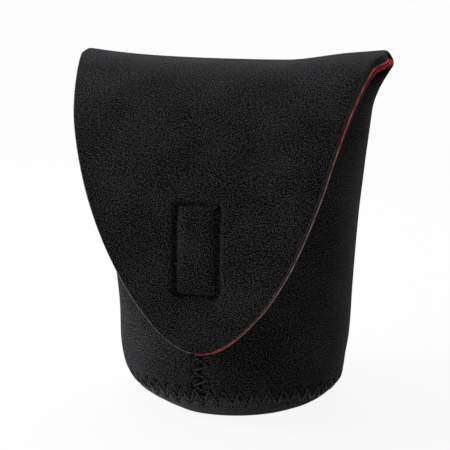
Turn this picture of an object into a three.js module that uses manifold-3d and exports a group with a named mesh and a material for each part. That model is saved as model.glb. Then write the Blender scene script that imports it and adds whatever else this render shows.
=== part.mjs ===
// Lens pouch: a round soft case of lined neoprene sheet, closed by a flap with hook-and-loop tape.
// Sizes are in millimetres. +Z is up, the front faces -Y, and the origin is the middle of the underside.
// The wall and the flap are cut as one sheet. It is divided at its two soft bends, the fold and the shoulder.
import * as THREE from 'three';
import { mergeVertices } from 'three/addons/utils/BufferGeometryUtils.js';
import Module from 'manifold-3d';

// Sheet: foam with a black knit face, and the lining glued behind it
const SHELL_THICKNESS = 2.5;
const LINING_THICKNESS = 0.4;
const GLUE_LINE = 0.1;
const SPLIT_GAP = 0.3;
const SEAM_GAP = 0.4;

// Body: a round tube on a dished base
const BODY_RADIUS = 39.7;
const BASE_FLAT_RADIUS = 24;
const LOWER_CURVE_HEIGHT = 22.5;
const BASE_SEAM_HEIGHT = 10.2;

// Top: the tube is pressed together under the flap, and its sides spread into two ears
const FOLD_HEIGHT = 117;
const FOLD_HALF_WIDTH = 53.5;
const SIDE_SPREAD = 9;
const EAR_HEIGHT = 17;
const EAR_NOTCH = 1.4;
const EAR_NOTCH_POWER = 4;
const WALL_TOP_DROP = 6.5;
const BACK_LEAN_START = 40;
const BACK_LEAN_DROP = 4;
const LIP_DROP = 15;
const PRESS_START = 10;

// Flap: an arch over the mouth, then straight down the front to a rounded tip
const FLAP_STAND = 3.5;
const ARCH_START_HEIGHT = 50;
const TIP_HEIGHT = 25;
const ARCH_POWER = 2.3;
const FLAP_TAPER = 0.47;
const TIP_POWER = 3.6;
const TOP_DIP = 3.3;
const DIP_REACH = 36;
const FOLD_REACH = 8;
const SHOULDER_LENGTH = 12;
const TONGUE_LENGTH = 58.7;
const TIP_TRIM = 0.06;
const FOLD_HANDLE_MIDDLE = 0.35;
const FOLD_HANDLE_EAR = 0.75;

// Hook-and-loop tapes, each sewn on round a raised field
const TAPE_WIDTH = 16;
const HOOK_TAPE_LENGTH = 31;
const LOOP_TAPE_LENGTH = 40;
const TAPE_BASE_THICKNESS = 0.35;
const TAPE_FIELD_THICKNESS = 0.8;
const TAPE_MIDDLE_HEIGHT = 60;
const TAPE_STITCH_INSET = 1.05;
const TAPE_FIELD_INSET = 1.9;
const TAPE_FIELD_BEVEL = 0.2;
const TAPE_CORNER_RADIUS = 1.5;
const TAPE_GAP = 0.15;

// Sewing thread
const THREAD_RADIUS = 0.25;
const THREAD_CLEARANCE = 0.2;
const ZIGZAG_HALF_WIDTH = 2.9;
const ZIGZAG_PITCH = 4.8;
const TAPE_STITCH_LENGTH = 3.2;
const STITCH_DIP = 0.12;
const GROOVE_RADIUS = 1;
const SEAM_END_MARGIN = 1.2;

// Number of faces across each form
const QUARTER_COLUMNS = 10;
const EAR_CROWDING = 1.5;
const WALL_ROWS = 13;
const FOLD_ROWS = 8;
const FLAP_COLUMNS = 10;
const FLAP_TOP_ROWS = 4;
const SHOULDER_ROWS = 4;
const TONGUE_ROWS = 11;
const FIELD_COLUMNS = 3;
const FIELD_ROWS = 4;
const BASE_SIDES = 36;
const BASE_CURVE_STEPS = 4;
const NEEDLE_THREAD_SIDES = 4;
const BOBBIN_THREAD_SIDES = 3;
const GROOVE_SIDES = 6;

// Steps over which a surface's slope is measured
const TURN_STEP = 0.002;
const HEIGHT_STEP = 0.02;
const SHARE_STEP = 0.002;
const EAR_MARGIN = 0.06;

// Sizes that follow from the ones above
const WALL_COLUMNS = 4 * QUARTER_COLUMNS;
const FOLD_COLUMNS = 2 * QUARTER_COLUMNS;
const SHEET = SHELL_THICKNESS + GLUE_LINE + LINING_THICKNESS;
const LINING_DEPTH = SHELL_THICKNESS + GLUE_LINE;
const TAPE_THICKNESS = TAPE_BASE_THICKNESS + TAPE_FIELD_THICKNESS;
// Across its own width a zigzag bridges the sheet's curve, so it stands off by the rise of that curve
const BASE_CURVE_RISE = ZIGZAG_HALF_WIDTH ** 2 / (2 * (BODY_RADIUS - BASE_FLAT_RADIUS));
const FRONT_CURVE_RISE = ZIGZAG_HALF_WIDTH ** 2 / (2 * BODY_RADIUS);
const THREAD_LAYER = 2 * THREAD_RADIUS + 2 * THREAD_CLEARANCE + FRONT_CURVE_RISE;
const FLAP_DEPTH = BODY_RADIUS + FLAP_STAND;
const TAPE_STACK = THREAD_LAYER + 2 * TAPE_THICKNESS + 2 * TAPE_GAP;
const PRESSED_DEPTH = FLAP_DEPTH - SHEET - TAPE_STACK;
const WALL_TOP = FOLD_HEIGHT - WALL_TOP_DROP;
const LIP_HEIGHT = FOLD_HEIGHT - LIP_DROP;
const ARCH_RISE = FOLD_HEIGHT - ARCH_START_HEIGHT;
const PRESS_END = TAPE_MIDDLE_HEIGHT - LOOP_TAPE_LENGTH / 2;
const THREAD_STAND = THREAD_RADIUS + THREAD_CLEARANCE;
const FLAT_RISE = BODY_RADIUS * (1 - Math.cos(Math.PI / BASE_SIDES));
const INNER_THREAD_STAND = THREAD_STAND + FLAT_RISE;
const GROOVE_DEPTH = GROOVE_RADIUS * Math.cos(Math.PI / GROOVE_SIDES);

const wasm = await Module();
wasm.setup();

const clamp01 = (t) => Math.min(1, Math.max(0, t));
const smooth = (t) => clamp01(t) ** 2 * (3 - 2 * clamp01(t));
const eased = (k, n) => (1 - Math.cos((Math.PI * k) / n)) / 2;

// The remaining depth of a superellipse at a share of its height
const archShare = (share) => (1 - clamp01(share) ** ARCH_POWER) ** (1 / ARCH_POWER);

// Side view of the flap's outer face, from the fold forward and down to the tip
class FlapProfile extends THREE.Curve {
  getPoint(t) {
    const archPart = 0.7;
    if (t >= archPart) {
      const down = (t - archPart) / (1 - archPart);
      return new THREE.Vector3(0, -FLAP_DEPTH, ARCH_START_HEIGHT + (TIP_HEIGHT - ARCH_START_HEIGHT) * down);
    }
    const angle = ((t / archPart) * Math.PI) / 2;
    const y = -FLAP_DEPTH * Math.sin(angle) ** (2 / ARCH_POWER);
    return new THREE.Vector3(0, y, ARCH_START_HEIGHT + ARCH_RISE * Math.cos(angle) ** (2 / ARCH_POWER));
  }
}

const flapProfile = new FlapProfile();
flapProfile.arcLengthDivisions = 800;
const FLAP_LENGTH = flapProfile.getLength();
const TIP_END = FLAP_LENGTH - TIP_TRIM;
const SHOULDER_END = FLAP_LENGTH - TONGUE_LENGTH;
const SHOULDER_START = SHOULDER_END - SHOULDER_LENGTH;

// A point on the flap at x, a length s from the fold, and a depth below its outer face
function flapPoint(x, s, depth) {
  const share = clamp01(s / FLAP_LENGTH);
  const point = flapProfile.getPointAt(share);
  const tangent = flapProfile.getTangentAt(share);
  const dip = TOP_DIP * (1 - (x / FOLD_HALF_WIDTH) ** 2) * (1 - clamp01(s / DIP_REACH)) ** 2;
  return new THREE.Vector3(x, point.y - tangent.z * depth, point.z + tangent.y * depth - dip);
}

function flapHalfWidth(s) {
  const share = clamp01(s / FLAP_LENGTH);
  return FOLD_HALF_WIDTH * (1 - FLAP_TAPER * share) * Math.sqrt(1 - share ** TIP_POWER);
}

// The length along the flap at which its outer face is at a height, below the fold
function flapLengthAtHeight(height) {
  let low = 0;
  let high = FLAP_LENGTH;
  for (let i = 0; i < 40; i += 1) {
    const middle = (low + high) / 2;
    if (flapProfile.getPointAt(middle / FLAP_LENGTH).z > height) low = middle;
    else high = middle;
  }
  return (low + high) / 2;
}

// Radius of the dished base and the lower wall
function lowRadius(z) {
  const share = clamp01((LOWER_CURVE_HEIGHT - z) / LOWER_CURVE_HEIGHT);
  return BASE_FLAT_RADIUS + (BODY_RADIUS - BASE_FLAT_RADIUS) * Math.sqrt(1 - share ** 2);
}

function sideHalfWidth(z) {
  const ear = clamp01((z - FOLD_HEIGHT + EAR_HEIGHT) / EAR_HEIGHT);
  const earFlare = FOLD_HALF_WIDTH - BODY_RADIUS - SIDE_SPREAD;
  return lowRadius(z) + SIDE_SPREAD * (z / FOLD_HEIGHT) ** ARCH_POWER + earFlare * ear ** 3;
}

function backDepth(z) {
  const leanRise = FOLD_HEIGHT - BACK_LEAN_DROP - BACK_LEAN_START;
  return lowRadius(z) * archShare((z - BACK_LEAN_START) / leanRise);
}

// The front wall leans in behind the flap: by the foot of the loop tape it leaves room for the two tapes
function frontDepth(z) {
  const pressed = (BODY_RADIUS - PRESSED_DEPTH) * smooth((z - PRESS_START) / (PRESS_END - PRESS_START));
  if (z <= ARCH_START_HEIGHT) return lowRadius(z) - pressed;
  const offset = SHEET + TAPE_STACK;
  let low = 0;
  let high = FLAP_LENGTH;
  for (let i = 0; i < 40; i += 1) {
    const middle = (low + high) / 2;
    const tangent = flapProfile.getTangentAt(middle / FLAP_LENGTH);
    if (flapProfile.getPointAt(middle / FLAP_LENGTH).z + tangent.y * offset > z) low = middle;
    else high = middle;
  }
  const share = (low + high) / 2 / FLAP_LENGTH;
  return -(flapProfile.getPointAt(share).y - flapProfile.getTangentAt(share).z * offset);
}

// Outer face of the wall. The turn is 0 at the front seam and half a circle at the middle of the back
function wallFace(turn, z) {
  const along = Math.cos(turn);
  const y = along > 0 ? -frontDepth(z) * along : -backDepth(z) * along;
  return new THREE.Vector3(sideHalfWidth(z) * Math.sin(turn), y, z);
}

// Outward normal of a surface given as a function of two values
function surfaceNormal(surface, u, v, du, dv) {
  const across = surface(u + du, v).sub(surface(u - du, v));
  const up = surface(u, v + dv).sub(surface(u, v - dv));
  return across.cross(up).normalize();
}

function wallPoint(turn, z, depth) {
  const normal = surfaceNormal(wallFace, turn, z, TURN_STEP, HEIGHT_STEP);
  return wallFace(turn, z).addScaledVector(normal, -depth);
}

// The turn at a column of the wall. Columns lie closer together at the ears, a quarter turn from the seam
function columnTurn(column) {
  const quarter = Math.PI / 2;
  const fromEar = ((column + QUARTER_COLUMNS) % (2 * QUARTER_COLUMNS)) / QUARTER_COLUMNS;
  const ear = Math.floor((column + QUARTER_COLUMNS) / (2 * QUARTER_COLUMNS)) * 2 - 1;
  const spread = fromEar <= 1 ? fromEar ** EAR_CROWDING : 2 - (2 - fromEar) ** EAR_CROWDING;
  return quarter * (ear + spread);
}

// Height of the wall's top edge: low at the front lip, level along the back, with a notch under each ear
function rimHeight(turn) {
  const across = Math.sin(turn) ** 2;
  const lip = Math.cos(turn) > 0 ? (WALL_TOP - LIP_HEIGHT) * (1 - across) : 0;
  return WALL_TOP - lip - EAR_NOTCH * across ** EAR_NOTCH_POWER;
}

// The fold: from the top of the back wall over to the start of the flap, at a share t of the way
function foldFace(turn, t) {
  const across = Math.sin(turn);
  const rise = wallFace(turn, WALL_TOP).sub(wallFace(turn, WALL_TOP - HEIGHT_STEP)).normalize();
  const start = wallFace(turn, WALL_TOP).addScaledVector(rise, SPLIT_GAP);
  const lengthAtEnd = FOLD_REACH - SPLIT_GAP;
  const end = flapPoint(across * flapHalfWidth(lengthAtEnd), lengthAtEnd, 0);
  const back = flapProfile.getTangentAt(lengthAtEnd / FLAP_LENGTH).negate();
  const reach = start.distanceTo(end);
  const handle = reach * (FOLD_HANDLE_MIDDLE + (FOLD_HANDLE_EAR - FOLD_HANDLE_MIDDLE) * across ** 4);
  const leave = start.clone().addScaledVector(rise, handle);
  const arrive = end.clone().addScaledVector(back, handle);
  return new THREE.CubicBezierCurve3(start, leave, arrive, end).getPoint(t);
}

function foldPoint(turn, t, depth) {
  const inside = Math.min(1.5 * Math.PI - EAR_MARGIN, Math.max(Math.PI / 2 + EAR_MARGIN, turn));
  const normal = surfaceNormal(foldFace, inside, t, TURN_STEP, SHARE_STEP);
  return foldFace(turn, t).addScaledVector(normal, -depth);
}

// A closed plate between two grids of points, each of (rows + 1) by (columns + 1)
function plate(rows, columns, outer, inner) {
  const positions = [];
  const indices = [];
  const width = columns + 1;
  const layer = width * (rows + 1);
  for (const grid of [outer, inner]) {
    for (let i = 0; i <= rows; i += 1) {
      for (let j = 0; j <= columns; j += 1) positions.push(...grid(i, j).toArray());
    }
  }
  const quad = (a, b, c, d) => indices.push(a, b, c, a, c, d);
  for (let i = 0; i < rows; i += 1) {
    for (let j = 0; j < columns; j += 1) {
      const a = i * width + j;
      quad(a, a + 1, a + width + 1, a + width);
      quad(layer + a, layer + a + width, layer + a + width + 1, layer + a + 1);
    }
  }
  const edge = (a, b) => quad(b, a, layer + a, layer + b);
  for (let j = 0; j < columns; j += 1) {
    edge(j, j + 1);
    edge(rows * width + j + 1, rows * width + j);
  }
  for (let i = 0; i < rows; i += 1) {
    edge((i + 1) * width, i * width);
    edge(i * width + columns, (i + 1) * width + columns);
  }
  return geometryFrom(positions, indices);
}

function geometryFrom(positions, indices) {
  const geometry = new THREE.BufferGeometry();
  geometry.setAttribute('position', new THREE.Float32BufferAttribute(positions, 3));
  geometry.setIndex(Array.from(indices));
  geometry.computeVertexNormals();
  return geometry;
}

// A thread along points, each with the direction away from the sheet, closed into a ring or ended flat
function thread(points, outward, radius, closed, sides) {
  const positions = [];
  const indices = [];
  const count = points.length;
  for (let i = 0; i < count; i += 1) {
    const before = points[closed ? (i + count - 1) % count : Math.max(0, i - 1)];
    const after = points[closed ? (i + 1) % count : Math.min(count - 1, i + 1)];
    const tangent = after.clone().sub(before).normalize();
    const aside = outward[i].clone().cross(tangent).normalize();
    const up = tangent.clone().cross(aside).normalize();
    for (let k = 0; k < sides; k += 1) {
      const angle = (2 * Math.PI * k) / sides;
      const ring = points[i].clone().addScaledVector(aside, radius * Math.cos(angle));
      positions.push(...ring.addScaledVector(up, radius * Math.sin(angle)).toArray());
    }
  }
  const spans = closed ? count : count - 1;
  for (let i = 0; i < spans; i += 1) {
    for (let k = 0; k < sides; k += 1) {
      const a = i * sides + k;
      const b = i * sides + ((k + 1) % sides);
      const c = ((i + 1) % count) * sides + ((k + 1) % sides);
      const d = ((i + 1) % count) * sides + k;
      indices.push(a, b, c, a, c, d);
    }
  }
  if (!closed) {
    const last = (count - 1) * sides;
    for (let k = 1; k < sides - 1; k += 1) {
      indices.push(0, k + 1, k, last, last + k, last + k + 1);
    }
  }
  return geometryFrom(positions, indices);
}

function solidFrom(geometry) {
  const bare = new THREE.BufferGeometry();
  bare.setAttribute('position', geometry.getAttribute('position').clone());
  bare.setIndex(geometry.getIndex().clone());
  const merged = mergeVertices(bare);
  const vertProperties = new Float32Array(merged.getAttribute('position').array);
  const triVerts = new Uint32Array(merged.getIndex().array);
  return new wasm.Manifold(new wasm.Mesh({ numProp: 3, vertProperties, triVerts }));
}

function cut(geometry, cutter) {
  const mesh = solidFrom(geometry).subtract(solidFrom(cutter)).getMesh();
  return geometryFrom(mesh.vertProperties, mesh.triVerts);
}

// Wall: one panel wrapped round from the front seam to the front seam
function wallLayer(top, bottom) {
  const halfGap = SEAM_GAP / 2 / PRESSED_DEPTH;
  const grid = (depth) => (i, j) => {
    const turn = Math.min(2 * Math.PI - halfGap, Math.max(halfGap, columnTurn(j)));
    const start = BASE_SEAM_HEIGHT + SEAM_GAP / 2;
    return wallPoint(turn, start + (rimHeight(turn) - start) * eased(i, WALL_ROWS), depth);
  };
  return plate(WALL_ROWS, WALL_COLUMNS, grid(top), grid(bottom));
}

// Base: a disc whose rim is dished up to meet the wall
function baseLayer(top, bottom) {
  const end = BASE_SEAM_HEIGHT - SEAM_GAP / 2;
  const endAngle = Math.acos((LOWER_CURVE_HEIGHT - end) / LOWER_CURVE_HEIGHT);
  const rim = BODY_RADIUS - BASE_FLAT_RADIUS;
  const curve = (depth) => {
    const points = [new THREE.Vector2(0, depth)];
    for (let i = 0; i <= BASE_CURVE_STEPS; i += 1) {
      const angle = (endAngle * i) / BASE_CURVE_STEPS;
      const normal = new THREE.Vector2(Math.sin(angle) / rim, -Math.cos(angle) / LOWER_CURVE_HEIGHT);
      const x = BASE_FLAT_RADIUS + rim * Math.sin(angle);
      const z = LOWER_CURVE_HEIGHT * (1 - Math.cos(angle));
      points.push(new THREE.Vector2(x, z).addScaledVector(normal.normalize(), -depth));
    }
    return points;
  };
  const profile = [...curve(top), ...curve(bottom).reverse()];
  return new THREE.LatheGeometry(profile, BASE_SIDES).rotateX(Math.PI / 2);
}

function foldLayer(top, bottom) {
  const grid = (depth) => (i, j) => {
    return foldPoint(columnTurn(QUARTER_COLUMNS + j), i / FOLD_ROWS, depth);
  };
  return plate(FOLD_ROWS, FOLD_COLUMNS, grid(top), grid(bottom));
}

// A stretch of the flap between two lengths from the fold
function flapLayer(start, end, rows, spacing, top, bottom) {
  const grid = (depth) => (i, j) => {
    const s = end + (start - end) * spacing(i / rows);
    return flapPoint(flapHalfWidth(s) * Math.sin(Math.PI * (j / FLAP_COLUMNS - 0.5)), s, depth);
  };
  return plate(rows, FLAP_COLUMNS, grid(top), grid(bottom));
}

const evenly = (t) => t;
const closerAtTip = (t) => t ** 2;

// Where the two tapes lie: on the flap's lining, and on the front wall over its seam
const hookMiddle = flapLengthAtHeight(TAPE_MIDDLE_HEIGHT);
const hookSeat = (x, up, depth) => flapPoint(x, hookMiddle - up, SHEET + TAPE_GAP + depth);
const tapeTurn = (x, z) => Math.asin(x / sideHalfWidth(z));
const loopSeat = (x, up, depth) => {
  const z = TAPE_MIDDLE_HEIGHT + up;
  return wallPoint(tapeTurn(x, z), z, -THREAD_LAYER - depth);
};

// Places from -half to half, in equal steps
const spread = (half, steps) => Array.from({ length: steps + 1 }, (_, i) => half * ((2 * i) / steps - 1));

// A tape: a flat base with rounded corners, and a raised field of hooks or loops
function tape(length, seat) {
  const half = TAPE_WIDTH / 2;
  const field = half - TAPE_FIELD_INSET;
  const fieldFoot = field + TAPE_FIELD_BEVEL;
  const halfLength = length / 2;
  const fieldEnd = halfLength - TAPE_FIELD_INSET;
  const fieldEndFoot = fieldEnd + TAPE_FIELD_BEVEL;
  const cornerStart = halfLength - TAPE_CORNER_RADIUS;
  const across = [-half, -fieldFoot, ...spread(field, FIELD_COLUMNS), fieldFoot, half];
  const fieldAlong = [-fieldEndFoot, ...spread(fieldEnd, FIELD_ROWS), fieldEndFoot];
  const along = [-halfLength, -cornerStart, ...fieldAlong, cornerStart, halfLength];
  const raised = (x, up) => Math.abs(x) <= field && Math.abs(up) <= fieldEnd;
  const narrow = (up) => {
    const past = clamp01((Math.abs(up) - cornerStart) / TAPE_CORNER_RADIUS);
    return (half - TAPE_CORNER_RADIUS * past) / half;
  };
  const grid = (top) => (i, j) => {
    const up = along[i];
    const height = raised(across[j], up) ? TAPE_THICKNESS : TAPE_BASE_THICKNESS;
    return seat(across[j] * narrow(up), up, top ? height : 0);
  };
  return { rows: along.length - 1, columns: across.length - 1, face: grid(true), foot: grid(false) };
}

// The sewn rectangle round a tape, as points on a sheet with the direction away from it
function tapeStitches(length, seat, depthAt) {
  const halfWidth = TAPE_WIDTH / 2 - TAPE_STITCH_INSET;
  const halfLength = length / 2 - TAPE_STITCH_INSET;
  const shape = new THREE.Path();
  const radius = TAPE_CORNER_RADIUS;
  shape.moveTo(halfWidth, radius - halfLength);
  shape.lineTo(halfWidth, halfLength - radius);
  shape.absarc(halfWidth - radius, halfLength - radius, radius, 0, Math.PI / 2);
  shape.lineTo(radius - halfWidth, halfLength);
  shape.absarc(radius - halfWidth, halfLength - radius, radius, Math.PI / 2, Math.PI);
  shape.lineTo(-halfWidth, radius - halfLength);
  shape.absarc(radius - halfWidth, radius - halfLength, radius, Math.PI, 1.5 * Math.PI);
  shape.lineTo(halfWidth - radius, -halfLength);
  shape.absarc(halfWidth - radius, radius - halfLength, radius, 1.5 * Math.PI, 2 * Math.PI);
  const count = 2 * Math.round(shape.getLength() / TAPE_STITCH_LENGTH);
  const points = [];
  const outward = [];
  for (let i = 0; i < count; i += 1) {
    const place = shape.getPointAt(i / count);
    const depth = depthAt(i % 2);
    points.push(seat(place.x, place.y, depth));
    outward.push(seat(place.x, place.y, depth + 1).sub(seat(place.x, place.y, depth)));
  }
  return { points, outward };
}

// A zigzag along a seam: pairs of points on both sides of it, at a stand-off from the sheet
function zigzag(count, place) {
  const points = [];
  const outward = [];
  for (let i = 0; i < count; i += 1) {
    const side = i % 2 ? 1 : -1;
    points.push(place(i, side, 0));
    outward.push(place(i, side, 1).sub(place(i, side, 0)));
  }
  return { points, outward };
}

function baseZigzag(depth) {
  const round = 2 * Math.PI * lowRadius(BASE_SEAM_HEIGHT);
  const count = 2 * Math.round(round / ZIGZAG_PITCH);
  const flare = lowRadius(BASE_SEAM_HEIGHT + HEIGHT_STEP) - lowRadius(BASE_SEAM_HEIGHT - HEIGHT_STEP);
  const slope = Math.hypot(1, flare / (2 * HEIGHT_STEP));
  const stand = THREAD_STAND + BASE_CURVE_RISE;
  return zigzag(count, (i, side, out) => {
    const z = BASE_SEAM_HEIGHT + (side * ZIGZAG_HALF_WIDTH) / slope;
    const away = depth > 0 ? depth + INNER_THREAD_STAND + out : -stand - out;
    return lowWallPoint((2 * Math.PI * i) / count, z, away);
  });
}

function lowWallPoint(turn, z, depth) {
  const face = (angle, height) => {
    const radius = lowRadius(height);
    return new THREE.Vector3(radius * Math.sin(angle), -radius * Math.cos(angle), height);
  };
  const normal = surfaceNormal(face, turn, z, TURN_STEP, HEIGHT_STEP);
  return face(turn, z).addScaledVector(normal, -depth);
}

function frontZigzag(depth) {
  const start = BASE_SEAM_HEIGHT + ZIGZAG_HALF_WIDTH + SEAM_END_MARGIN;
  const end = LIP_HEIGHT - SEAM_END_MARGIN;
  const count = 1 + 2 * Math.round((end - start) / ZIGZAG_PITCH);
  const stand = THREAD_STAND + FRONT_CURVE_RISE;
  return zigzag(count, (i, side, out) => {
    const z = start + ((end - start) * i) / (count - 1);
    const away = depth > 0 ? depth + INNER_THREAD_STAND + out : -stand - out;
    return wallPoint(tapeTurn(side * ZIGZAG_HALF_WIDTH, z), z, away);
  });
}

function needleThread({ points, outward }, closed) {
  return thread(points, outward, THREAD_RADIUS, closed, NEEDLE_THREAD_SIDES);
}

function bobbinThread({ points, outward }, closed) {
  return thread(points, outward, THREAD_RADIUS, closed, BOBBIN_THREAD_SIDES);
}

// Threads of the sewn rectangles, on the flap, on the tapes and on the wall's lining
const dipped = (depth) => (odd) => depth + (odd ? 0 : STITCH_DIP);
const raisedStitch = (depth) => (odd) => depth - (odd ? 0 : STITCH_DIP);
const flapFace = (x, up, depth) => flapPoint(x, hookMiddle - up, depth);
const wallLiningFace = (x, up, depth) => {
  const z = TAPE_MIDDLE_HEIGHT + up;
  return wallPoint(tapeTurn(x, z), z, SHEET + depth);
};
const onTape = TAPE_BASE_THICKNESS + THREAD_STAND + STITCH_DIP;
const inGroove = GROOVE_DEPTH - THREAD_STAND - STITCH_DIP;
const overInnerSeam = INNER_THREAD_STAND + THREAD_LAYER + STITCH_DIP;
const grooveLine = tapeStitches(HOOK_TAPE_LENGTH, flapFace, () => 0);
const hookNeedleLine = tapeStitches(HOOK_TAPE_LENGTH, flapFace, dipped(inGroove));
const hookBobbinLine = tapeStitches(HOOK_TAPE_LENGTH, hookSeat, raisedStitch(onTape));
const loopNeedleLine = tapeStitches(LOOP_TAPE_LENGTH, loopSeat, raisedStitch(onTape));
const loopBobbinLine = tapeStitches(LOOP_TAPE_LENGTH, wallLiningFace, raisedStitch(overInnerSeam));

function tonguePanel() {
  const start = SHOULDER_END + SPLIT_GAP;
  const panel = flapLayer(start, TIP_END, TONGUE_ROWS, closerAtTip, 0, SHELL_THICKNESS);
  const { points, outward } = grooveLine;
  return cut(panel, thread(points, outward, GROOVE_RADIUS, true, GROOVE_SIDES));
}

// The hook tape faces back towards the wall, and the loop tape faces forward
function hookTape() {
  const { rows, columns, face, foot } = tape(HOOK_TAPE_LENGTH, hookSeat);
  return plate(rows, columns, foot, face);
}

function loopTape() {
  const { rows, columns, face, foot } = tape(LOOP_TAPE_LENGTH, loopSeat);
  return plate(rows, columns, face, foot);
}

// Materials
const finish = (color, roughness) => new THREE.MeshStandardMaterial({ color, roughness, metalness: 0 });
const blackKnit = finish(0x17181b, 0.9);
const redKnit = finish(0xb01217, 0.9);
const blackThread = finish(0x101013, 0.7);
const hookPlastic = finish(0x141416, 0.6);
const loopPile = finish(0x18181a, 0.95);

const pouch = new THREE.Group();

function add(name, geometry, material) {
  const mesh = new THREE.Mesh(geometry, material);
  mesh.name = name;
  pouch.add(mesh);
}

const shell = [0, SHELL_THICKNESS];
const lining = [LINING_DEPTH, SHEET];
const flapTop = [FOLD_REACH, SHOULDER_START - SPLIT_GAP, FLAP_TOP_ROWS, evenly];
const shoulder = [SHOULDER_START, SHOULDER_END, SHOULDER_ROWS, evenly];
const tongue = [SHOULDER_END + SPLIT_GAP, TIP_END, TONGUE_ROWS, closerAtTip];

add('wall_panel', wallLayer(...shell), blackKnit);
add('wall_lining', wallLayer(...lining), redKnit);
add('base_disc', baseLayer(...shell), blackKnit);
add('base_lining', baseLayer(...lining), redKnit);
add('fold_panel', foldLayer(...shell), blackKnit);
add('fold_lining', foldLayer(...lining), redKnit);
add('flap_top_panel', flapLayer(...flapTop, ...shell), blackKnit);
add('flap_top_lining', flapLayer(...flapTop, ...lining), redKnit);
add('shoulder_panel', flapLayer(...shoulder, ...shell), blackKnit);
add('shoulder_lining', flapLayer(...shoulder, ...lining), redKnit);
add('tongue_panel', tonguePanel(), blackKnit);
add('tongue_lining', flapLayer(...tongue, ...lining), redKnit);
add('hook_tape', hookTape(), hookPlastic);
add('loop_tape', loopTape(), loopPile);
add('front_seam_thread', needleThread(frontZigzag(0), false), blackThread);
add('front_seam_bobbin_thread', bobbinThread(frontZigzag(SHEET), false), blackThread);
add('base_seam_thread', needleThread(baseZigzag(0), true), blackThread);
add('base_seam_bobbin_thread', bobbinThread(baseZigzag(SHEET), true), blackThread);
add('hook_tape_thread', needleThread(hookNeedleLine, true), blackThread);
add('hook_tape_bobbin_thread', bobbinThread(hookBobbinLine, true), blackThread);
add('loop_tape_thread', needleThread(loopNeedleLine, true), blackThread);
add('loop_tape_bobbin_thread', bobbinThread(loopBobbinLine, true), blackThread);

export default pouch;
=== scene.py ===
# Lens pouch: lined neoprene sheet with sewn seams, tapes and threads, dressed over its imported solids.
import math

import bmesh
import bpy
import numpy as np
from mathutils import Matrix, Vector

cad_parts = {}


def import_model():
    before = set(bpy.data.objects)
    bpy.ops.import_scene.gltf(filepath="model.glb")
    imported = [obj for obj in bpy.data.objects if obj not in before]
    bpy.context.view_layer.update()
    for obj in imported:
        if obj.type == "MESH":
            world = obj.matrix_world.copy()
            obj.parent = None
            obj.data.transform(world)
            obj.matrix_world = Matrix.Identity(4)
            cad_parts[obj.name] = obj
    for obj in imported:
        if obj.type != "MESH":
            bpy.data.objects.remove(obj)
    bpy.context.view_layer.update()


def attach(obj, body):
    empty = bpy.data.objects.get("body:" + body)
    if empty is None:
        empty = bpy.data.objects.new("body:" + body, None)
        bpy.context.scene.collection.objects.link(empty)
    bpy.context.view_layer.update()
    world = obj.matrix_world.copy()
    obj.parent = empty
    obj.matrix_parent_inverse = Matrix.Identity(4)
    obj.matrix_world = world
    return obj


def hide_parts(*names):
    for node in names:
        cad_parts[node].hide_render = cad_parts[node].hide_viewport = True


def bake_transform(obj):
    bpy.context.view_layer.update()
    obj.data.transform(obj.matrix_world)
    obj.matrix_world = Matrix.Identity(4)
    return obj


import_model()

MM = 0.001

# Main sizes in millimetres, most of them as in the solids
PANEL = 2.5
LINING_DEPTH = 2.6
LINING = 0.45
SHEET = 3.0
BODY_RADIUS = 39.7
BASE_FLAT_RADIUS = 24.0
LOWER_CURVE_HEIGHT = 22.5
BASE_SEAM_HEIGHT = 10.2
FOLD_HEIGHT = 117.0
FOLD_HALF_WIDTH = 53.5
SIDE_SPREAD = 9.0
EAR_HEIGHT = 17.0
WALL_TOP = 110.5
BACK_LEAN_START = 40.0
BACK_LEAN_DROP = 4.0
LIP_HEIGHT = 102.0
LIP_DEPTH = 9.0
PRESS_SPAN = (10.0, 40.0)
FLAP_DEPTH = 43.2
ARCH_START_HEIGHT = 50.0
ARCH_POWER = 2.3
TIP_HEIGHT = 25.0
TIP_POWER = 3.6
TIP_TRIM = 0.02
PAST_TIP = 3.0
FLAP_TAPER = 0.47
TOP_DIP = 3.3
DIP_REACH = 36.0
FOLD_REACH = 8.0
FOLD_HANDLE_MIDDLE = 0.35
FOLD_HANDLE_EAR = 0.75
FLAP_SPLIT = 26.0
TAPE_WIDTH = 16.0
HOOK_TAPE_LENGTH = 31.0
LOOP_TAPE_LENGTH = 40.0
TAPE_BASE = 0.35
TAPE_GAP = 0.15
TAPE_STACK = 3.606
TAPE_MIDDLE_HEIGHT = 60.0
TAPE_STITCH_INSET = 1.05
TAPE_STITCH_LENGTH = 3.2
TAPE_FIELD_INSET = 1.9
TAPE_CORNER_RADIUS = 1.5
ZIGZAG_HALF_WIDTH = 2.9
ZIGZAG_PITCH = 4.8
SEAM_END_MARGIN = 1.2
THREAD_RADIUS = 0.27
PRESSED_DEPTH = FLAP_DEPTH - SHEET - TAPE_STACK
LINING_DEPTHS = (LINING_DEPTH, LINING_DEPTH + LINING)
STITCH_HALF_WIDTH = TAPE_WIDTH / 2 - TAPE_STITCH_INSET

# Places up over the flap's fold, and along the flap at its shoulder
FOLD_HINGE_HEIGHT = 112.0
FOLD_BEND_REACH = 21.0
FOLD_BEND_RISE = 3.0
SHOULDER_START = 38.0
SHOULDER_END = 63.0

# Edges of the sheets
CUT_INSET = 1.15
RIM_INSET = 0.4
SEAM_INSET = 0.4
LINING_INSET = 0.2
LINING_SEAM_GAP = 0.3
LINING_EDGE = 0.3
TAPE_EDGE = 0.25
EASE_STEPS = 8

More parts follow.
